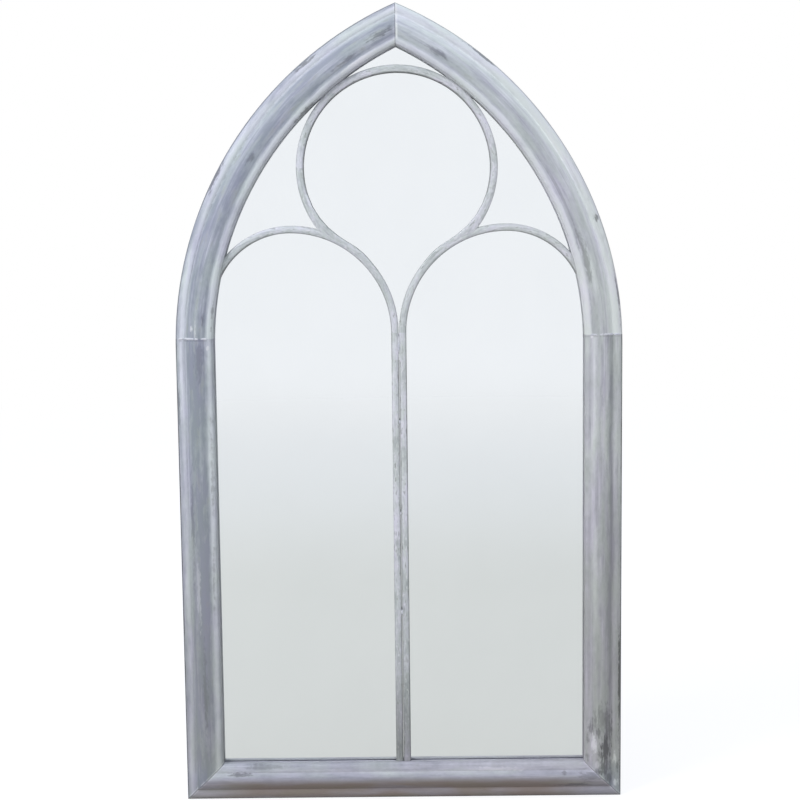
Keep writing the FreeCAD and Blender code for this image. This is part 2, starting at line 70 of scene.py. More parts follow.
# the grey of the painted shade towards the foot
FOOT_SHADE_GREY = (0.15, 0.145, 0.145, 1)
# the brown of the painted shade under the rail
UNDERSIDE_SHADE_BROWN = (0.232, 0.187, 0.143, 1)

# the features of the moulding, across its face from the outer edge (0) to the sight edge (1): rim, lip, hollow,
# outer and inner half of the body, quirk, bead, slope
wash_places = (0.04, 0.18, 0.285, 0.43, 0.68, 0.79, 0.875, 1.0)

# strokes and stains: length along the member and width across it, in millimetres, and detail
BRUSH = (150, 4.0, 3.0)
HAIRS = (55, 1.1, 2.0)
CLOUD = (110, 26, 2.0)
BLOTCH = (26, 9, 4.0)
GRIT = (7, 2.6, 4.0)
SWEEP = (230, 11, 2.0)
PATCH = (70, 15, 3.0)


def node(tree, kind, inputs=(), **settings):
    """A new node; inputs gives values, or the sockets of other nodes, by socket name or number."""
    made = tree.nodes.new(kind)
    for name, value in settings.items():
        setattr(made, name, value)
    for key, value in dict(inputs).items():
        if isinstance(value, bpy.types.NodeSocket):
            tree.links.new(value, made.inputs[key])
        else:
            made.inputs[key].default_value = value
    return made


def calc(tree, operation, *terms, clamp=False):
    """The result of a sum on numbers or sockets."""
    return node(tree, "ShaderNodeMath", enumerate(terms), operation=operation, use_clamp=clamp).outputs[0]


def fade(tree, value, start, end, low=0.0, high=1.0):
    """A smooth change from low to high while the value goes from start to end."""
    terms = {"Value": value, "From Min": start, "From Max": end, "To Min": low, "To Max": high}
    return node(tree, "ShaderNodeMapRange", terms, interpolation_type="SMOOTHSTEP").outputs["Result"]


def blend(tree, share, base, over):
    """One colour laid over another by that share."""
    mix = node(tree, "ShaderNodeMix", data_type="RGBA", clamp_factor=True)
    for socket, value in ((mix.inputs[0], share), (mix.inputs[6], base), (mix.inputs[7], over)):
        if isinstance(value, bpy.types.NodeSocket):
            tree.links.new(value, socket)
        else:
            socket.default_value = value
    return mix.outputs[2]


def speckle(tree, place, scale, detail=2.0, roughness=0.55):
    """Cloudy noise at a place."""
    terms = {"Vector": place, "Scale": scale, "Detail": detail, "Roughness": roughness}
    return node(tree, "ShaderNodeTexNoise", terms).outputs[0]


def finish_material(name):
    """A new node material: itself, its tree, its shader and its place on the object in millimetres."""
    material = bpy.data.materials.new(name)
    material.use_nodes = True
    tree = material.node_tree
    place = node(tree, "ShaderNodeTexCoord").outputs["Object"]
    spot = node(tree, "ShaderNodeVectorMath", {0: place, 1: (MM, MM, MM)}, operation="MULTIPLY").outputs[0]
    return material, tree, tree.nodes["Principled BSDF"], spot


def dress(piece, material):
    """Gives a piece that finish and no other."""
    piece.data.materials.clear()
    piece.data.materials.append(material)


def hypotenuse(tree, a, b):
    """The distance that two sides at right angles make."""
    corner = node(tree, "ShaderNodeCombineXYZ", {0: a, 1: b}).outputs[0]
    return node(tree, "ShaderNodeVectorMath", {0: corner}, operation="LENGTH").outputs["Value"]


def stile_track(tree, x, z):
    """Across the stile from its outer edge, along it, and the distance from its mitre."""
    across = calc(tree, "SUBTRACT", outer_half, calc(tree, "ABSOLUTE", x))
    return across, z, calc(tree, "SUBTRACT", z, across)


def rail_track(tree, x, z):
    """Across the rail from its foot, along it, and the distance from its mitres."""
    return z, x, calc(tree, "SUBTRACT", calc(tree, "SUBTRACT", outer_half, calc(tree, "ABSOLUTE", x)), z)


def arch_track(tree, x, z):
    """Across the arch from its outer edge, along its curve, and the distance from the apex."""
    reach = calc(tree, "ADD", calc(tree, "ABSOLUTE", x), arch_offset)
    rise = calc(tree, "SUBTRACT", z, springing)
    across = calc(tree, "SUBTRACT", arch_radius, hypotenuse(tree, reach, rise))
    along = calc(tree, "MULTIPLY_ADD", calc(tree, "ARCTAN2", rise, reach), arch_radius, springing)
    return across, along, calc(tree, "ABSOLUTE", x)


def strokes(tree, along, across, length, width, detail, layer):
    """Marks of that length and width, drawn out along a member: nought on average, about half at most."""
    flow = {0: calc(tree, "DIVIDE", along, length), 1: calc(tree, "DIVIDE", across, width), 2: layer}
    place = node(tree, "ShaderNodeCombineXYZ", flow).outputs[0]
    return calc(tree, "SUBTRACT", speckle(tree, place, 1.0, detail), 0.5)


def drift(tree, colour, share):
    """The colour turned a little to stone where the share is low, and to lilac where it is high."""
    tone = blend(tree, share, WASH_STONE, WASH_LILAC)
    return node(tree, "ShaderNodeVectorMath", {0: colour, 1: tone}, operation="MULTIPLY").outputs[0]


def whitewash(name, track, wash, hue, seam, wear_and_shade, marks, layer):
    """The rubbed whitewash of one member, with its strokes along the member's own track and its known marks."""
    hairline_share, smear_share, butt_shadow_share = seam
    foot_shade_share, under_shade_share, rim_rub, sight_rub_and_shade = wear_and_shade
    material, tree, shader, spot = finish_material(name)
    x, y, z = node(tree, "ShaderNodeSeparateXYZ", {0: spot}).outputs
    across, along, joint = track(tree, x, z)
    girth = calc(tree, "SUBTRACT", across, y)
    brush = strokes(tree, along, girth, *BRUSH, layer)
    hairs = strokes(tree, along, girth, *HAIRS, layer + 7)
    cloud = strokes(tree, along, girth, *CLOUD, layer + 13)
    blotch = strokes(tree, along, girth, *BLOTCH, layer + 19)
    grit = strokes(tree, along, girth, *GRIT, layer + 23)
    sweep = strokes(tree, along, girth, *SWEEP, layer + 29)
    patch = strokes(tree, along, girth, *PATCH, layer + 31)

    # the bands of wash, with borders that wander on the body and keep to the quirk at the bead
    loose = fade(tree, across, 33.0, 39.0, 1.0, 0.2)
    stray = calc(tree, "MULTIPLY_ADD", cloud, 5.0, calc(tree, "MULTIPLY", blotch, 3.5))
    wander = calc(tree, "ADD", across, calc(tree, "MULTIPLY", loose, stray))
    ramp = node(tree, "ShaderNodeValToRGB", {0: calc(tree, "DIVIDE", wander, face_width)})
    ramp.color_ramp.interpolation = "CARDINAL"
    for number, (place, left) in enumerate(zip(wash_places, wash)):
        stop = ramp.color_ramp.elements[number] if number < 2 else ramp.color_ramp.elements.new(place)
        stop.position = place
        stop.color = (left, left, left, 1)
    cover = node(tree, "ShaderNodeSeparateColor", {0: ramp.outputs[0]}).outputs[0]
    for mark, weight in ((sweep, 0.7), (cloud, 0.9), (blotch, 0.75), (grit, 0.3)):
        cover = calc(tree, "MULTIPLY_ADD", mark, weight, cover)
    # the brush left its strokes only where it ran dry
    dry = fade(tree, patch, -0.10, 0.15, 0.15, 1.2)
    bristles = calc(tree, "MULTIPLY_ADD", hairs, 0.45, brush)
    cover = calc(tree, "MULTIPLY_ADD", bristles, dry, cover)
    # little of the wash went round to the back
    hidden = fade(tree, y, -flange_back - 5.0, -flange_back - 0.5)
    cover = calc(tree, "MULTIPLY_ADD", hidden, -0.6, cover, clamp=True)
    colour = blend(tree, cover, PRIMER, WASH)
    lead = calc(tree, "MULTIPLY", fade(tree, blotch, 0.03, 0.22, 0.0, 0.6), fade(tree, cover, 0.9, 0.3))
    colour = blend(tree, lead, colour, LEAD_GREY)

    # painted shade: darker towards the foot, where the light falls off
    low = fade(tree, z, 560.0, 120.0, 0.0, foot_shade_share)
    low = calc(tree, "MULTIPLY", low, fade(tree, cloud, -0.2, 0.15, 0.5, 1.0))
    colour = blend(tree, low, colour, FOOT_SHADE_GREY)
    # painted shade in brown on the rail's down-facing lower half, standing in for the ground's bounce light
    under = fade(tree, z, 36.0, 22.0, 0.0, under_shade_share)
    under = calc(tree, "MULTIPLY", under, fade(tree, cloud, -0.2, 0.1, 0.65, 1.0))
    under = calc(tree, "MULTIPLY", under, fade(tree, calc(tree, "ABSOLUTE", x), 290.0, 200.0, 0.55, 1.0))
    colour = blend(tree, under, colour, UNDERSIDE_SHADE_BROWN)

    # rubbed corners: the outer edge of the lip, rubbed to the steel, and the sight edge, whose dark line is partly
    # rubbed steel and partly painted shade of the gap at the glass
    rub = calc(tree, "MULTIPLY_ADD", blotch, 3.6, calc(tree, "MULTIPLY", cloud, 2.2))
    lip_gap = calc(tree, "SUBTRACT", hypotenuse(tree, across, calc(tree, "ADD", y, lip_corner)), rub)
    to_sight = calc(tree, "SUBTRACT", across, face_width)
    sight_gap = calc(tree, "SUBTRACT", hypotenuse(tree, to_sight, calc(tree, "ADD", y, sight_corner)), rub)
    rim = fade(tree, lip_gap, 2.5, 1.2, 0.0, rim_rub)
    worn_and_shade = calc(tree, "MAXIMUM", rim, fade(tree, sight_gap, 1.1, 0.3, 0.0, sight_rub_and_shade))
    # sparse scuffs
    scuff = calc(tree, "MULTIPLY", fade(tree, blotch, 0.10, 0.22), fade(tree, grit, 0.02, 0.16, 0.0, 0.5))
    worn_and_shade = calc(tree, "MAXIMUM", worn_and_shade, calc(tree, "MULTIPLY", scuff, fade(tree, cloud, 0.0, 0.15)))
    # the mitre: a hairline, broken where filler holds, and a pale smear of filler beside it
    hairline = fade(tree, joint, 1.2, 0.3, 0.0, hairline_share)
    hairline = calc(tree, "MULTIPLY", hairline, fade(tree, blotch, -0.15, 0.0))
    worn_and_shade = calc(tree, "MAXIMUM", worn_and_shade, hairline)
    smear = calc(tree, "MULTIPLY", fade(tree, joint, 4.5, 1.5, 0.0, smear_share), fade(tree, joint, 0.2, 0.7))
    pale = calc(tree, "MULTIPLY", smear, fade(tree, blotch, -0.12, 0.06))
    # painted shadow: the dark line under the proud filler at the butt joint
    to_line = calc(tree, "ABSOLUTE", calc(tree, "SUBTRACT", z, butt_joint - butt_line_drop))
    butt = fade(tree, to_line, 1.7, 0.5, 0.0, butt_shadow_share)
    worn_and_shade = calc(tree, "MAXIMUM", worn_and_shade, calc(tree, "MULTIPLY", butt, fade(tree, brush, -0.12, 0.04)))
    # scrapes to the metal and thick touched-up places, each at its own spot on the member
    ragged = calc(tree, "MULTIPLY_ADD", grit, 2.4, calc(tree, "MULTIPLY", brush, 2.0))
    ragged = calc(tree, "MULTIPLY_ADD", blotch, 2.6, ragged)
    for middle, place, half_width, half_length, strength in marks:
        gap = hypotenuse(tree, calc(tree, "DIVIDE", calc(tree, "SUBTRACT", across, middle), half_width),
                         calc(tree, "DIVIDE", calc(tree, "SUBTRACT", along, place), half_length))
        spread = fade(tree, calc(tree, "ADD", gap, ragged), 1.25, 0.35, 0.0, abs(strength))
        if strength > 0:
            worn_and_shade = calc(tree, "MAXIMUM", worn_and_shade, spread)
        else:
            pale = calc(tree, "MAXIMUM", pale, spread)
    colour = blend(tree, worn_and_shade, colour, BARE_STEEL_AND_SHADE)
    colour = blend(tree, pale, colour, CHALK)
    # the wash is bluest on the left, and greys towards the right and the foot; lip and bead lean opposite ways
    grey = calc(tree, "MULTIPLY_ADD", x, 0.00085, calc(tree, "MULTIPLY_ADD", z, -0.00055, 0.70), clamp=True)
    grey = calc(tree, "MULTIPLY", grey, fade(tree, z, 20.0, 60.0))
    vivid = calc(tree, "SUBTRACT", 1.0, grey)
    colour = node(tree, "ShaderNodeHueSaturation", {"Saturation": vivid, "Color": colour}).outputs[0]
    bead_lean = fade(tree, across, quirk, bead_crest, 0.0, 0.0009)
    lean = calc(tree, "SUBTRACT", bead_lean, fade(tree, across, lip_inside, lip_crest, 0.0, 0.0004))
    lilac = calc(tree, "MULTIPLY_ADD", cloud, -1.6, hue)
    lilac = calc(tree, "MULTIPLY_ADD", patch, 2.6, lilac)
    colour = drift(tree, colour, calc(tree, "MULTIPLY_ADD", x, lean, lilac))
    tree.links.new(colour, shader.inputs["Base Color"])

    rough = calc(tree, "MULTIPLY_ADD", brush, 0.25, 0.52)
    tree.links.new(calc(tree, "MULTIPLY_ADD", worn_and_shade, -0.1, rough), shader.inputs["Roughness"])
    tree.links.new(fade(tree, worn_and_shade, 0.2, 0.7, 0.45, 0.2), shader.inputs["Specular IOR Level"])
    height = calc(tree, "MULTIPLY_ADD", brush, 0.6, calc(tree, "MULTIPLY", hairs, 0.3))
    height = calc(tree, "MULTIPLY_ADD", blotch, 0.5, calc(tree, "MULTIPLY_ADD", grit, 0.25, height))
    height = calc(tree, "MULTIPLY_ADD", pale, 0.5, calc(tree, "MULTIPLY_ADD", worn_and_shade, -0.3, height))
    bump = node(tree, "ShaderNodeBump", {"Strength": 0.4, "Distance": 0.0004, "Height": height})
    tree.links.new(bump.outputs[0], shader.inputs["Normal"])
    return material


# track; wash on the eight features (the rail's low slope value is painted shade on its sight band, and the arches'
# values above 1 at bead and slope also lift the shade of their down-facing inner side, a painted light); lean from
# stone to lilac; hairline, smear and painted butt shadow at the joints; painted shade towards the foot, painted
# shade under the rail, rub of the outer edge, and rub and painted shade of the sight edge; marks, each with its
# middle across, its place along, half width, half length and strength (pale when negative); layer of the noise
members = {
    "left_stile": (
        stile_track, (0.3, 0.8, 0.2, 0.0, 0.0, 0.2, 0.9, 0.6), 0.45,
        (0.7, 0.3, 0.3), (0.36, 0.25, 0.9, 0.4),
        ((33, 622, 6.5, 32, 0.25), (44.5, 638, 2.2, 3.0, -0.65), (30, 150, 3, 60, 0.3), (2, 560, 2, 26, 0.5),
         (46, 330, 3, 40, 0.3), (24, 300, 3, 45, -0.3), (47.5, 470, 2.5, 60, 0.3), (18, 380, 2.5, 80, 0.3)), 0),
    "right_stile": (
        stile_track, (0.4, 0.4, 0.1, 0.4, 0.6, 0.7, 0.5, 0.5), 0.35,
        (0.75, 0.3, 0.2), (0.45, 0.15, 0.9, 0.4),
        ((22, 70, 9, 16, 0.8), (18, 100, 5.5, 34, 0.5), (39, 76, 5.5, 15, -0.7), (44, 99, 5.5, 13, 0.5),
         (33, 93, 4, 9, 0.5), (25, 44, 9, 13, 0.6), (10, 54, 3.5, 11, -0.5), (42.4, 648, 3, 2.6, -0.9),
         (1.5, 160, 2.6, 90, 0.8), (48, 60, 3.5, 8, 0.45), (26, 520, 4, 50, -0.35), (12, 32, 4, 8, 0.5),
         (30, 62, 4, 8, 0.5), (47, 86, 3, 12, 0.45), (36, 112, 3.5, 14, 0.4), (28, 112, 9, 20, 0.35),
         (28, 37, 6, 6, 0.6), (17, 28, 5, 7, 0.5), (5, 42, 2.5, 10, 0.5), (8, 20, 4, 5, -0.5),
         (34, 47, 5, 5, -0.45), (2, 120, 2.5, 24, 0.6)), 61),
    "bottom_rail": (
        rail_track, (0.4, 0.5, 0.3, 0.6, 0.6, 0.6, 0.4, 0.2), 0.85,
        (0.5, 0.25, 0.0), (0.0, 0.9, 0.9, 0.1),
        ((37.5, -230, 3.5, 14, 0.6), (17, 240, 4, 22, 0.45), (37, 225, 4.5, 3, 0.4), (48, -190, 3, 30, 0.3),
         (30, 262, 8, 16, 0.35), (43, 130, 3, 40, -0.5)), 122),
    "left_arch": (
        arch_track, (0.3, 1.0, 0.3, 0.1, 0.2, 0.2, 1.2, 1.2), 0.5,
        (0.75, 0.2, 0.0), (0.0, 0.0, 0.6, 0.4),
        ((29, 1183, 4.5, 19, 0.48), (32, 928, 3.2, 10, 0.4), (4, 1076, 4, 16, 0.6), (2.5, 877, 3, 28, 0.7),
         (50.5, 1029, 2.4, 26, 0.55), (36, 1120, 3.0, 24, 0.42), (46, 1140, 3.5, 30, -0.7),
         (22, 666, 2.2, 4, -0.6), (37, 677, 1.6, 12, 0.4), (49, 690, 1.6, 17, 0.4), (49, 668, 1.5, 7, 0.4),
         (27, 665, 1.6, 12, -0.45)), 183),
    "right_arch": (
        arch_track, (1.0, 1.1, 0.9, 0.6, 0.5, 0.5, 1.2, 1.2), 0.3,
        (0.15, 0.85, 0.0), (0.0, 0.0, 0.4, 0.4),
        ((34, 1140, 3.4, 21, 0.4), (36, 769, 5, 30, 0.35), (5, 815, 2.4, 5, 0.6), (2, 1085, 1.6, 25, 0.65),
         (45, 720, 4, 40, -0.5), (12, 930, 4, 40, -0.4), (2, 700, 1.8, 30, 0.6)), 244),
}
for member, (track, wash, hue, seam, wear_and_shade, marks, layer) in members.items():
    paint = whitewash(member + "_whitewash", track, wash, hue, seam, wear_and_shade, marks, layer)
    dress(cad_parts[member], paint)


# The joint fillers: putty drawn with a knife over the weld of each stile and arch, left a little proud and only
# thinly washed over. It is chalky, pale and broken, and it is rubbed down to nothing on the crest of the face.
filler_reach = (3.0, 45.0)
filler_half = 1.7
filler_proud = 0.45
filler_start = -50.0
filler_body = 0.5
filler_edge_sink = 0.3
filler_gap_sink = 0.6
filler_unevenness = 0.2
filler_ridges = ((0.5, 1.0), (1.2, 0.7))
filler_gaps = ((0, 4.2), (11.4, 13.4), (26.0, 27.6), (43.8, 60))
face_crest = -30.25
PUTTY_PALE = (0.74, 0.755, 0.80, 1)
PUTTY_STAINED = (0.60, 0.63, 0.70, 1)
PUTTY_CHIP = (0.30, 0.32, 0.36, 1)


def take_up(piece):
    """Selects one piece alone and opens its mesh, with all of it selected."""
    bpy.ops.object.select_all(action="DESELECT")
    bpy.context.view_layer.objects.active = piece
    piece.select_set(True)
    bpy.ops.object.mode_set(mode="EDIT")
    bpy.ops.mesh.select_all(action="SELECT")


def pick(piece, wanted):
    """Selects those points of the open mesh whose place, in millimetres, is wanted."""
    bpy.ops.mesh.select_all(action="DESELECT")
    bpy.ops.object.mode_set(mode="OBJECT")
    for point in piece.data.vertices:
        point.select = bool(wanted(point.co * MM))
    bpy.ops.object.mode_set(mode="EDIT")


def settle(piece, body, material):
    """Closes a finished piece, smooths its shading and hangs it on its body."""
    bpy.ops.object.mode_set(mode="OBJECT")
    for modifier in list(piece.modifiers):
        bpy.ops.object.modifier_apply(modifier=modifier.name)
    bpy.ops.object.shade_smooth()
    dress(piece, material)
    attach(piece, body)


putty, tree, shader, spot = finish_material("joint_putty")
chips = speckle(tree, spot, 0.55, 4.0)
stain = speckle(tree, spot, 0.09, 3.0)
colour = blend(tree, fade(tree, stain, 0.35, 0.65), PUTTY_PALE, PUTTY_STAINED)
colour = blend(tree, fade(tree, chips, 0.56, 0.70, 0.0, 0.7), colour, PUTTY_CHIP)
tree.links.new(colour, shader.inputs["Base Color"])
tree.links.new(fade(tree, chips, 0.3, 0.7, 0.62, 0.85), shader.inputs["Roughness"])
bump = node(tree, "ShaderNodeBump", {"Strength": 0.6, "Distance": 0.0003, "Height": chips})
tree.links.new(bump.outputs[0], shader.inputs["Normal"])

for side, way, seed in (("left", -1, 3), ("right", 1, 8)):
    middle = Vector((way * (outer_half - sum(filler_reach) / 2), filler_start, butt_joint)) / MM
    bpy.ops.mesh.primitive_grid_add(x_subdivisions=56, y_subdivisions=5, size=1, location=middle,
                                    rotation=(math.pi / 2, 0, 0))
    filler = bpy.context.object
    filler.name = side + "_joint_filler"
    bpy.ops.object.transform_apply(location=True, rotation=True, scale=True)
    take_up(filler)
    spread = ((filler_reach[1] - filler_reach[0]) / MM, 1, 2 * filler_half / MM)
    bpy.ops.transform.resize(value=spread, center_override=middle)
    bpy.ops.object.mode_set(mode="OBJECT")
    wrap = filler.modifiers.new("lie_on_face", "SHRINKWRAP")
    wrap.wrap_method = "PROJECT"
    wrap.use_project_y = True
    wrap.use_positive_direction = True
    wrap.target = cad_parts[side + "_stile"]
    wrap.auxiliary_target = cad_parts[side + "_arch"]
    bpy.ops.object.modifier_apply(modifier=wrap.name)
    take_up(filler)
    for depth, share in filler_ridges:
        pick(filler, lambda place: depth - 0.7 < abs(place.z - butt_joint) < depth)
        bpy.ops.transform.translate(value=(0, -filler_proud * share / MM, 0))
    pick(filler, lambda place: abs(place.z - butt_joint) > 1.2)
    bpy.ops.transform.translate(value=(0, filler_edge_sink / MM, 0))
    for start, end in filler_gaps:
        pick(filler, lambda place: start < outer_half - abs(place.x) < end)
        bpy.ops.transform.translate(value=(0, filler_gap_sink / MM, 0))
    bpy.ops.mesh.select_all(action="SELECT")
    bpy.ops.transform.vertex_random(offset=filler_unevenness / MM, seed=seed)
    pick(filler, lambda place: place.y < face_crest)
    bpy.ops.transform.resize(value=(1, 0, 1), center_override=(0, face_crest / MM, 0))
    bpy.ops.object.mode_set(mode="OBJECT")
    soften = filler.modifiers.new("soften", "SUBSURF")
    soften.levels = soften.render_levels = 1
    body = filler.modifiers.new("body", "SOLIDIFY")
    body.thickness = filler_body / MM
    body.offset = -1
    settle(filler, "frame", putty)


# The mirror: one sheet of 3 mm float glass, cut to the arch and its edges seamed by hand.
# It is clear with a slight green cast, and silvered on its back.
GLASS_CLEAR = (0.973, 0.985, 0.980, 1)
GLASS_GREEN = (0.969, 0.982, 0.977, 1)
glass, tree, shader, spot = finish_material("float_glass")
ream = speckle(tree, spot, 0.006, 2.0)
tint = blend(tree, fade(tree, ream, 0.35, 0.65), GLASS_CLEAR, GLASS_GREEN)
tree.links.new(tint, shader.inputs["Base Color"])
shader.inputs["Roughness"].default_value = 0.0
shader.inputs["IOR"].default_value = 1.5
shader.inputs["Transmission Weight"].default_value = 1.0
dress(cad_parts["mirror_glass"], glass)

# The silvering: a film of silver under a coat of paint, laid wet on the back of the glass.
# It is far thinner than a hair, and it stops just short of the cut edge.
SILVER_BRIGHT = (0.949, 0.958, 0.953, 1)
SILVER_DULL = (0.942, 0.951, 0.946, 1)
silver_low, silver_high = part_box("mirror_glass")
silver_back = silver_high.y - 0.00002
silver_thick = 0.00004
silver_share = (0.998, 0.999)
silver_coat = bpy.data.objects.new("silver_coat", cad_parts["mirror_glass"].data.copy())
bpy.context.scene.collection.objects.link(silver_coat)
take_up(silver_coat)
bpy.ops.mesh.customdata_custom_splitnormals_clear()
bpy.ops.mesh.remove_doubles(threshold=0.000002)
middle = (silver_low + silver_high) / 2
flatten = silver_thick / (silver_high.y - silver_low.y)
bpy.ops.transform.resize(value=(silver_share[0], flatten, silver_share[1]), center_override=middle)
bpy.ops.transform.translate(value=(0, silver_back - silver_thick / 2 - middle.y, 0))
bpy.ops.object.mode_set(mode="OBJECT")
silver, tree, shader, spot = finish_material("silvering")
tarnish = speckle(tree, spot, 0.012, 3.0)
tone = blend(tree, fade(tree, tarnish, 0.35, 0.70), SILVER_BRIGHT, SILVER_DULL)
tree.links.new(tone, shader.inputs["Base Color"])
shader.inputs["Metallic"].default_value = 1.0
shader.inputs["Roughness"].default_value = 0.0
dress(silver_coat, silver)
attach(silver_coat, "frame")


# The seal and the tape: grey closed-cell foam strip under the moulding's seat, and white foam tape that
# bonds the glass to its board.
def foam(name, shade, pore):
    """Closed-cell foam in one shade, with cut pores."""
    material, tree, shader, spot = finish_material(name)
    pores = node(tree, "ShaderNodeTexVoronoi", {"Vector": spot, "Scale": pore}).outputs["Distance"]
    tint = speckle(tree, spot, 0.08, 2.0)
    deep, light = (tuple(share * part for part in shade[:3]) + (1,) for share in (0.6, 1.25))
    colour = blend(tree, fade(tree, pores, 0.0, 0.5), deep, shade)
    colour = blend(tree, fade(tree, tint, 0.3, 0.7, 0.0, 0.3), colour, light)
    tree.links.new(colour, shader.inputs["Base Color"])
    shader.inputs["Roughness"].default_value = 0.9
    bump = node(tree, "ShaderNodeBump", {"Strength": 0.4, "Distance": 0.0002, "Height": pores})
    tree.links.new(bump.outputs[0], shader.inputs["Normal"])
    return material


dress(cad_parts["glass_seal"], foam("seal_foam", (0.70, 0.70, 0.82, 1), 1.6))
dress(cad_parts["bonding_tape"], foam("tape_foam", (0.6, 0.6, 0.58, 1), 2.0))


# The backing board: tempered hardboard, 3 mm, cut to the arch with its screen-marked face outwards.
# The glass is taped to it and the turn buttons hold it in the frame.
BOARD_DARK = (0.165, 0.098, 0.055, 1)
BOARD_BROWN = (0.225, 0.142, 0.082, 1)
BOARD_FIBRE = (0.31, 0.215, 0.135, 1)
BOARD_SCREEN = (0.11, 0.066, 0.038, 1)
screen_pitch = 3.3
board, tree, shader, spot = finish_material("hardboard")
x, y, z = node(tree, "ShaderNodeSeparateXYZ", {0: spot}).outputs
fibres = speckle(tree, spot, 0.55, 5.0, 0.7)
clouds = speckle(tree, spot, 0.012, 3.0)
weave = calc(tree, "MULTIPLY", calc(tree, "SINE", calc(tree, "MULTIPLY", x, screen_pitch)),
             calc(tree, "SINE", calc(tree, "MULTIPLY", z, screen_pitch)))
colour = blend(tree, fade(tree, clouds, 0.3, 0.7), BOARD_DARK, BOARD_BROWN)
colour = blend(tree, fade(tree, fibres, 0.35, 0.75, 0.0, 0.55), colour, BOARD_FIBRE)
colour = blend(tree, fade(tree, weave, 0.1, 0.9, 0.0, 0.25), colour, BOARD_SCREEN)
tree.links.new(colour, shader.inputs["Base Color"])
tree.links.new(fade(tree, fibres, 0.2, 0.8, 0.72, 0.9), shader.inputs["Roughness"])
height = calc(tree, "SUBTRACT", calc(tree, "MULTIPLY", fibres, 0.6), calc(tree, "MULTIPLY", weave, 0.25))
bump = node(tree, "ShaderNodeBump", {"Strength": 0.5, "Distance": 0.0003, "Height": height})
tree.links.new(bump.outputs[0], shader.inputs["Normal"])
dress(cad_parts["backing_board"], board)


# The tracery: flat steel bar with a crowned face, bent cold to the lancet heads and the oculus, welded where
# the bars meet and stood on the glass. It has the frame's paint with more of the wash left on it.
lancet_centre = 146.8
lancet_springing = 656.0
lancet_radius = 141.5
oculus_height = 879.5
oculus_radius = 131.2
bend_radius = 140.0
bar_edge = 19.8
bar_foot = 14.2
BAR_BRUSH = (80, 2.2, 3.0)
BAR_CLOUD = (45, 20, 2.0)
BAR_BLOTCH = (12, 4.0, 4.0)
BAR_DAUBS = (8, 3.0, 3.0)


def mullion_track(tree, x, z):
    """Across and along the mullion bars, and the painted shade on their arrises: most in the groove and on the
    right.
    """
    groove = fade(tree, calc(tree, "ABSOLUTE", x), 4.0, 2.0, 0.0, 0.6)
    return x, z, calc(tree, "MAXIMUM", groove, fade(tree, x, 7.0, 9.0, 0.25, 0.7))


def ring_track(centre_x, centre_z, radius):
    """Across and along a bent bar, turned about its centre and alike on both sides, with painted shade on its
    inner arris.
    """
    def track(tree, x, z):
        reach = calc(tree, "SUBTRACT", calc(tree, "ABSOLUTE", x) if centre_x else x, centre_x)
        rise = calc(tree, "SUBTRACT", z, centre_z)
        across = hypotenuse(tree, reach, calc(tree, "MAXIMUM", rise, 0.0) if centre_x else rise)
        along = calc(tree, "MULTIPLY", calc(tree, "ARCTAN2", rise, reach), bend_radius)
        return across, along, fade(tree, across, radius + 1.5, radius - 2.5, 0.25, 0.55)
    return track


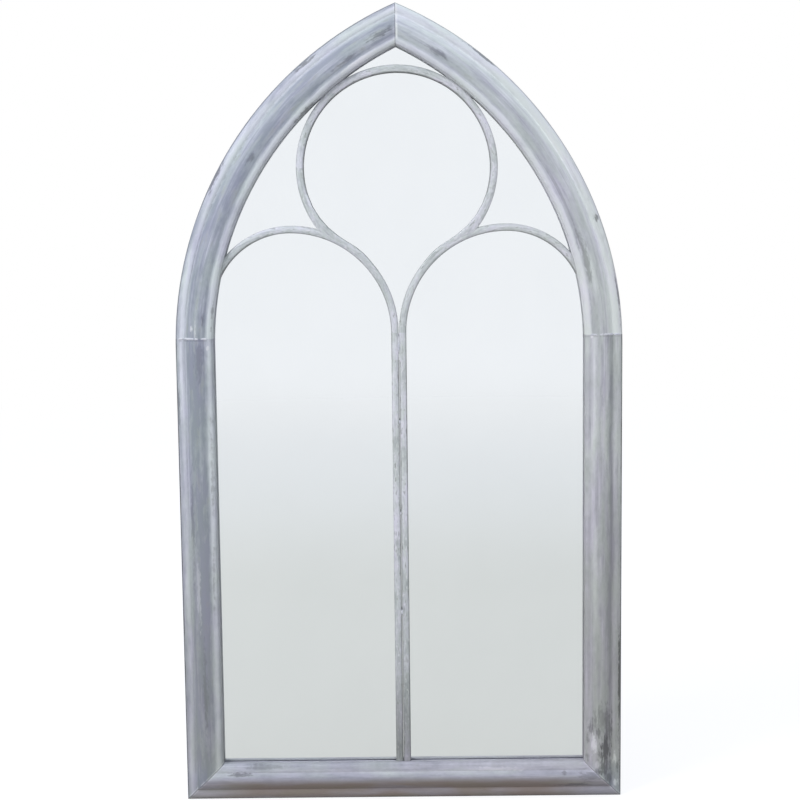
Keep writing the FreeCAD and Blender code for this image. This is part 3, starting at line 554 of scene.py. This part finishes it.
def bar_wash(name, track, level, foot_level):
    """Whitewash on a narrow bar: pale on its face, painted shade on its shaded arris and on its sides down to the
    glass, and rubbed pits.
    """
    material, tree, shader, spot = finish_material(name)
    x, y, z = node(tree, "ShaderNodeSeparateXYZ", {0: spot}).outputs
    across, along, lee = track(tree, x, z)
    side = calc(tree, "MULTIPLY", calc(tree, "GREATER_THAN", x, 0.0), 47.0)
    brush = strokes(tree, along, across, *BAR_BRUSH, calc(tree, "ADD", side, 3.0))
    cloud = strokes(tree, along, across, *BAR_CLOUD, calc(tree, "ADD", side, 9.0))
    blotch = strokes(tree, along, across, *BAR_BLOTCH, calc(tree, "ADD", side, 15.0))
    daubs = strokes(tree, along, across, *BAR_DAUBS, calc(tree, "ADD", side, 21.0))
    cover = fade(tree, z, 60.0, 560.0, foot_level, level)
    cover = calc(tree, "MULTIPLY_ADD", brush, 0.9, cover)
    cover = calc(tree, "MULTIPLY_ADD", cloud, 1.3, calc(tree, "MULTIPLY_ADD", blotch, 1.5, cover), clamp=True)
    colour = blend(tree, cover, PRIMER, WASH)
    colour = blend(tree, fade(tree, blotch, 0.04, 0.18, 0.0, 0.6), colour, LEAD_GREY)
    daub = fade(tree, daubs, 0.08, 0.16, 0.0, 0.65)
    colour = blend(tree, daub, colour, CHALK)
    # painted shade: a dark arris on the shaded side and dark sides down to the glass; the pits are real rubs to
    # the steel
    edge_place = calc(tree, "MULTIPLY_ADD", blotch, 0.8, calc(tree, "ADD", y, bar_edge))
    edge = calc(tree, "MULTIPLY", lee, fade(tree, edge_place, -0.75, -0.2))
    foot = fade(tree, y, -bar_edge + 1.5, -bar_foot, 0.0, 0.8)
    pits = fade(tree, calc(tree, "ADD", blotch, calc(tree, "MULTIPLY", daubs, -0.6)), 0.18, 0.30, 0.0, 0.55)
    worn_and_shade = calc(tree, "MAXIMUM", calc(tree, "MAXIMUM", edge, foot), pits)
    colour = blend(tree, worn_and_shade, colour, BARE_STEEL_AND_SHADE)
    # painted shade: the bars also darken towards the foot
    colour = blend(tree, fade(tree, z, 230.0, 60.0, 0.0, 0.55), colour, FOOT_SHADE_GREY)
    # the wash greys from left to right here as on the frame
    vivid = calc(tree, "MULTIPLY_ADD", x, -0.0006, calc(tree, "MULTIPLY_ADD", z, 0.0002, 0.45), clamp=True)
    colour = node(tree, "ShaderNodeHueSaturation", {"Saturation": vivid, "Color": colour}).outputs[0]
    lilac = calc(tree, "MULTIPLY_ADD", cloud, 3.0, calc(tree, "MULTIPLY_ADD", daubs, 1.5, 0.25))
    colour = drift(tree, colour, lilac)
    tree.links.new(colour, shader.inputs["Base Color"])
    tree.links.new(calc(tree, "MULTIPLY_ADD", brush, 0.22, 0.5), shader.inputs["Roughness"])
    tree.links.new(fade(tree, worn_and_shade, 0.2, 0.7, 0.45, 0.2), shader.inputs["Specular IOR Level"])
    height = calc(tree, "MULTIPLY_ADD", daub, 0.5, calc(tree, "MULTIPLY_ADD", worn_and_shade, -0.3, brush))
    bump = node(tree, "ShaderNodeBump", {"Strength": 0.5, "Distance": 0.0003, "Height": height})
    tree.links.new(bump.outputs[0], shader.inputs["Normal"])
    return material


mullion_paint = bar_wash("mullion_whitewash", mullion_track, 0.80, 0.50)
lancet_paint = bar_wash("lancet_whitewash", ring_track(lancet_centre, lancet_springing, lancet_radius), 0.78, 0.78)
oculus_paint = bar_wash("oculus_whitewash", ring_track(0.0, oculus_height, oculus_radius), 0.76, 0.76)
for bar, paint in (("left_mullion_bar", mullion_paint), ("right_mullion_bar", mullion_paint),
                   ("left_lancet_head", lancet_paint), ("right_lancet_head", lancet_paint),
                   ("oculus_ring", oculus_paint)):
    dress(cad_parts[bar], paint)


# The webs at the foot of the oculus: weld metal that carries each end of the ring on to its lancet head, filed
# flush with the bars and washed with them. Their free edge is the ring's own curve, run out on the lancet.
web_face = -21.04
web_depth = 6.4
web_round = 1.4
web_line = ((-121.4, 844.7), (-115.0, 828.3), (-105.9, 813.3), (-94.6, 800.1), (-81.6, 788.9), (-69.3, 780.5),
            (-56.6, 772.6), (-45.8, 763.4), (-36.6, 752.9), (-28.2, 741.0), (-32.6, 742.1), (-41.6, 750.7),
            (-55.8, 764.4), (-71.8, 776.0), (-89.2, 785.3), (-103.1, 790.6), (-109.8, 798.6), (-112.5, 811.9),
            (-119.9, 826.1), (-124.5, 843.8))
bpy.ops.mesh.primitive_plane_add(size=0.001, rotation=(math.pi / 2, 0, 0))
web = bpy.context.object
web.name = "left_ring_web"
bpy.ops.object.transform_apply(location=True, rotation=True, scale=True)
take_up(web)
bpy.ops.mesh.merge(type="CENTER")
here = (0, 0)
for number, corner in enumerate(web_line):
    step = {"value": ((corner[0] - here[0]) / MM, 0 if number else web_face / MM, (corner[1] - here[1]) / MM)}
    if number:
        bpy.ops.mesh.extrude_region_move(TRANSFORM_OT_translate=step)
    else:
        bpy.ops.transform.translate(**step)
    here = corner
bpy.ops.mesh.select_all(action="SELECT")
bpy.ops.mesh.edge_face_add()
bpy.ops.mesh.extrude_region_move(TRANSFORM_OT_translate={"value": (0, web_depth / MM, 0)})
bpy.ops.mesh.select_all(action="SELECT")
bpy.ops.mesh.normals_make_consistent(inside=False)
bpy.ops.object.mode_set(mode="OBJECT")
right_web = bpy.data.objects.new("right_ring_web", web.data.copy())
bpy.context.scene.collection.objects.link(right_web)
take_up(right_web)
bpy.ops.transform.resize(value=(-1, 1, 1), center_override=(0, 0, 0))
bpy.ops.mesh.normals_make_consistent(inside=False)
bpy.ops.object.mode_set(mode="OBJECT")
for piece in (web, right_web):
    round_off = piece.modifiers.new("round_off", "BEVEL")
    round_off.width = web_round / MM
    round_off.segments = 3
    round_off.limit_method = "ANGLE"
    take_up(piece)
    settle(piece, "frame", oculus_paint)
    bpy.ops.object.shade_smooth_by_angle(angle=math.radians(40))


# The tracery welds: small beads of weld and putty in the groove of the mullion, at its head, and where the oculus
# touches the arch. They are filed down and brushed over thinly, so that the pale putty shows.
weld_cut = 0.7
weld_unevenness = 0.22
bpy.ops.mesh.primitive_uv_sphere_add(segments=16, ring_count=10, radius=1 / MM)
lump = bpy.context.object
lump.name = "weld_lump"
take_up(lump)
bpy.ops.mesh.bisect(plane_co=(0, weld_cut / MM, 0), plane_no=(0, 1, 0), clear_outer=True, use_fill=True)
bpy.ops.object.mode_set(mode="OBJECT")
# place x and z, foot and rise of the bead over the wall, half width, half length, turn from upright in degrees
weld_places = [(0.1, 640, 18.9, 1.8, 2.0, 13, 0), (0.3, 533, 18.9, 1.7, 1.9, 3.4, 0),
               (-0.1, 406, 18.9, 1.5, 1.7, 2.6, 0), (0.2, 266, 18.9, 1.8, 2.3, 4.2, 0)]
for way in (-1, 1):
    weld_places += [(way * 98.0, 975.6, 16.4, 3.0, 1.7, 10.0, way * 52),
                    (way * 73.0, 995.4, 16.4, 3.0, 1.7, 10.0, way * 50)]
for number, (x, z, foot, rise, half_width, half_length, turn) in enumerate(weld_places, 1):
    weld = bpy.data.objects.new(f"tracery_weld_{number}", lump.data.copy())
    bpy.context.scene.collection.objects.link(weld)
    take_up(weld)
    bpy.ops.transform.vertex_random(offset=weld_unevenness / MM, seed=number)
    bpy.ops.mesh.vertices_smooth(factor=0.5, repeat=1)
    bpy.ops.transform.resize(value=(half_width, rise, half_length), center_override=(0, 0, 0))
    bpy.ops.transform.rotate(value=math.radians(turn), orient_axis="Y", center_override=(0, 0, 0))
    bpy.ops.transform.translate(value=(x / MM, -foot / MM, z / MM))
    bpy.ops.object.mode_set(mode="OBJECT")
    soften = weld.modifiers.new("soften", "SUBSURF")
    soften.levels = soften.render_levels = 1
    settle(weld, "frame", putty)
bpy.data.objects.remove(lump)


# The fittings on the back: turn buttons, hanger straps, D rings and their rivets, all pressed or bent from
# mild steel and zinc plated. The plating is dull, with a fine spangle and white bloom in the corners.
ZINC_BLOOM = (0.66, 0.66, 0.65, 1)
ZINC_SCRATCH = (0.20, 0.20, 0.205, 1)


def plating(name, dull, bright):
    """Zinc plate between two tones, with its bloom and scratches."""
    material, tree, shader, spot = finish_material(name)
    spangle = node(tree, "ShaderNodeTexVoronoi", {"Vector": spot, "Scale": 0.45}).outputs["Color"]
    flake = node(tree, "ShaderNodeSeparateColor", {0: spangle}).outputs[0]
    bloom = speckle(tree, spot, 0.22, 4.0)
    drawn = node(tree, "ShaderNodeMapping", {"Vector": spot, "Scale": (2.2, 2.2, 0.12)}).outputs[0]
    scratch = speckle(tree, drawn, 1.0, 2.0)
    colour = blend(tree, flake, dull, bright)
    colour = blend(tree, fade(tree, bloom, 0.56, 0.72, 0.0, 0.5), colour, ZINC_BLOOM)
    colour = blend(tree, fade(tree, scratch, 0.64, 0.72, 0.0, 0.6), colour, ZINC_SCRATCH)
    tree.links.new(colour, shader.inputs["Base Color"])
    tree.links.new(fade(tree, bloom, 0.50, 0.72, 1.0, 0.6), shader.inputs["Metallic"])
    dullness = fade(tree, bloom, 0.4, 0.7, 0.26, 0.5)
    tree.links.new(calc(tree, "MULTIPLY_ADD", flake, 0.12, dullness), shader.inputs["Roughness"])
    bump = node(tree, "ShaderNodeBump", {"Strength": 0.3, "Distance": 0.0001, "Height": scratch})
    tree.links.new(bump.outputs[0], shader.inputs["Normal"])
    return material


zinc = plating("zinc_plate", (0.40, 0.415, 0.43, 1), (0.54, 0.55, 0.555, 1))
rivet_zinc = plating("rivet_zinc", (0.24, 0.25, 0.265, 1), (0.34, 0.35, 0.36, 1))
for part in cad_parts:
    if part.endswith("rivets"):
        dress(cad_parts[part], rivet_zinc)
    elif part.startswith("turn_button") or "hanger" in part:
        dress(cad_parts[part], zinc)


# The wall bumpers: round pads of black rubber, moulded with a dome and glued to the back of the frame.
# They keep the frame off the wall and level with its hangers.
RUBBER = (0.022, 0.022, 0.024, 1)
RUBBER_DUST = (0.085, 0.083, 0.08, 1)
rubber, tree, shader, spot = finish_material("bumper_rubber")
grain = speckle(tree, spot, 2.2, 3.0)
dust = speckle(tree, spot, 0.18, 3.0)
colour = blend(tree, fade(tree, dust, 0.45, 0.75, 0.0, 0.5), RUBBER, RUBBER_DUST)
tree.links.new(colour, shader.inputs["Base Color"])
tree.links.new(fade(tree, dust, 0.3, 0.7, 0.6, 0.85), shader.inputs["Roughness"])
bump = node(tree, "ShaderNodeBump", {"Strength": 0.3, "Distance": 0.0002, "Height": grain})
tree.links.new(bump.outputs[0], shader.inputs["Normal"])
dress(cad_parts["wall_bumpers"], rubber)


# The studio: a pale floor that is white behind the mirror and greyer in front of it, which is what the glass
# reflects; a white room; a soft lamp high on the left, and a weak one on the right.
ROOM_WHITE = (1.0, 1.0, 1.0, 1)
ROOM_FRONT = (0.925, 0.938, 0.98, 1)
FLOOR_FRONT = (0.657, 0.665, 0.653, 1)
FLOOR_BOUNCE = (0.36, 0.33, 0.30, 1)
SKY_LOW = (0.54, 0.54, 0.56, 1)
SKY_HIGH = (0.78, 0.84, 0.96, 1)
floor_size = 40
grey_floor = (1.22, 7.0)
shadow_reach = (5.0, 2.0)
shadow_share = 0.3
glow_loss = 0.24
bpy.ops.mesh.primitive_plane_add(size=floor_size, location=(0, 0, 0))
floor = bpy.context.object
floor.name = "floor"
floor_paper = bpy.data.materials.new("floor_paper")
floor_paper.use_nodes = True
tree = floor_paper.node_tree
tree.nodes.remove(tree.nodes["Principled BSDF"])


def seen_rays(tree):
    """One for rays from the eye, also by way of a mirror or through glass, and nought for rays that only light."""
    path = node(tree, "ShaderNodeLightPath").outputs
    mirrored = calc(tree, "MAXIMUM", path["Is Glossy Ray"], path["Is Transmission Ray"])
    return calc(tree, "MAXIMUM", path["Is Camera Ray"], mirrored)


spot = node(tree, "ShaderNodeTexCoord").outputs["Object"]
y = node(tree, "ShaderNodeSeparateXYZ", {0: spot}).outputs["Y"]
far = calc(tree, "LOGARITHM", calc(tree, "MAXIMUM", calc(tree, "MULTIPLY", y, -1.0), 0.5), math.e)
front = blend(tree, fade(tree, far, *(math.log(reach) for reach in grey_floor)), FLOOR_FRONT, ROOM_FRONT)
paper = blend(tree, fade(tree, y, -0.15, -0.05), front, ROOM_WHITE)
seen = seen_rays(tree)
distance = node(tree, "ShaderNodeVectorMath", {0: spot}, operation="LENGTH").outputs["Value"]
near = fade(tree, distance, *shadow_reach)
shadow_part = blend(tree, calc(tree, "MULTIPLY", near, shadow_share), (0, 0, 0, 1), paper)
lit = node(tree, "ShaderNodeBsdfDiffuse", {"Color": blend(tree, seen, FLOOR_BOUNCE, shadow_part)}).outputs[0]
strength = calc(tree, "MULTIPLY", seen, calc(tree, "MULTIPLY_ADD", near, -glow_loss, 1.0))
glow = node(tree, "ShaderNodeEmission", {"Color": paper, "Strength": strength}).outputs[0]
mixed = node(tree, "ShaderNodeAddShader", {0: lit, 1: glow}).outputs[0]
tree.links.new(mixed, tree.nodes["Material Output"].inputs["Surface"])
dress(floor, floor_paper)

world = bpy.data.worlds.new("studio")
world.use_nodes = True
bpy.context.scene.world = world
tree = world.node_tree
direction = node(tree, "ShaderNodeTexCoord").outputs["Generated"]
_, y, z = node(tree, "ShaderNodeSeparateXYZ", {0: direction}).outputs
room = blend(tree, fade(tree, y, -0.2, 0.2), ROOM_FRONT, ROOM_WHITE)
sky = blend(tree, fade(tree, z, -0.1, 0.9), SKY_LOW, SKY_HIGH)
light = node(tree, "ShaderNodeBackground", {"Color": sky, "Strength": 1.0}).outputs[0]
view = node(tree, "ShaderNodeBackground", {"Color": room, "Strength": 1.0}).outputs[0]
mixed = node(tree, "ShaderNodeMixShader", {0: seen_rays(tree), 1: light, 2: view}).outputs[0]
tree.links.new(mixed, tree.nodes["World Output"].inputs["Surface"])

lamps = (("key_lamp", (-1.9, -1.5, 2.3), 1.2, 44), ("fill_lamp", (2.2, -1.6, 1.9), 1.6, 9))
lamp_target = Vector((0, 0, 0.8))
for name, place, size, power in lamps:
    lamp = bpy.data.lights.new(name, "AREA")
    lamp.size = size
    lamp.energy = power
    stand = bpy.data.objects.new(name, lamp)
    bpy.context.scene.collection.objects.link(stand)
    stand.location = place
    stand.rotation_euler = (lamp_target - Vector(place)).to_track_quat("-Z", "Y").to_euler()

# The camera stands 2.2 m in front of the wall, level with the heads of the lancets, and looks a little down.
camera_place = Vector((0.0127, -2.2, 0.8159))
yaw, pitch, roll = (math.radians(angle) for angle in (-0.317, 6.603, 0.669))
ahead = Vector((math.sin(yaw) * math.cos(pitch), math.cos(yaw) * math.cos(pitch), -math.sin(pitch)))
level = Vector((math.cos(yaw), -math.sin(yaw), 0))
plumb = ahead.cross(level)
rightward = level * math.cos(roll) + plumb * math.sin(roll)
downward = plumb * math.cos(roll) - level * math.sin(roll)
lens = bpy.data.cameras.new("camera")
lens.sensor_width = 36
lens.lens = 72.05
camera = bpy.data.objects.new("camera", lens)
bpy.context.scene.collection.objects.link(camera)
aim = Matrix((rightward, -downward, -ahead)).transposed().to_4x4()
camera.matrix_world = Matrix.Translation(camera_place) @ aim
bpy.context.scene.camera = camera
bpy.context.scene.view_settings.view_transform = "Standard"
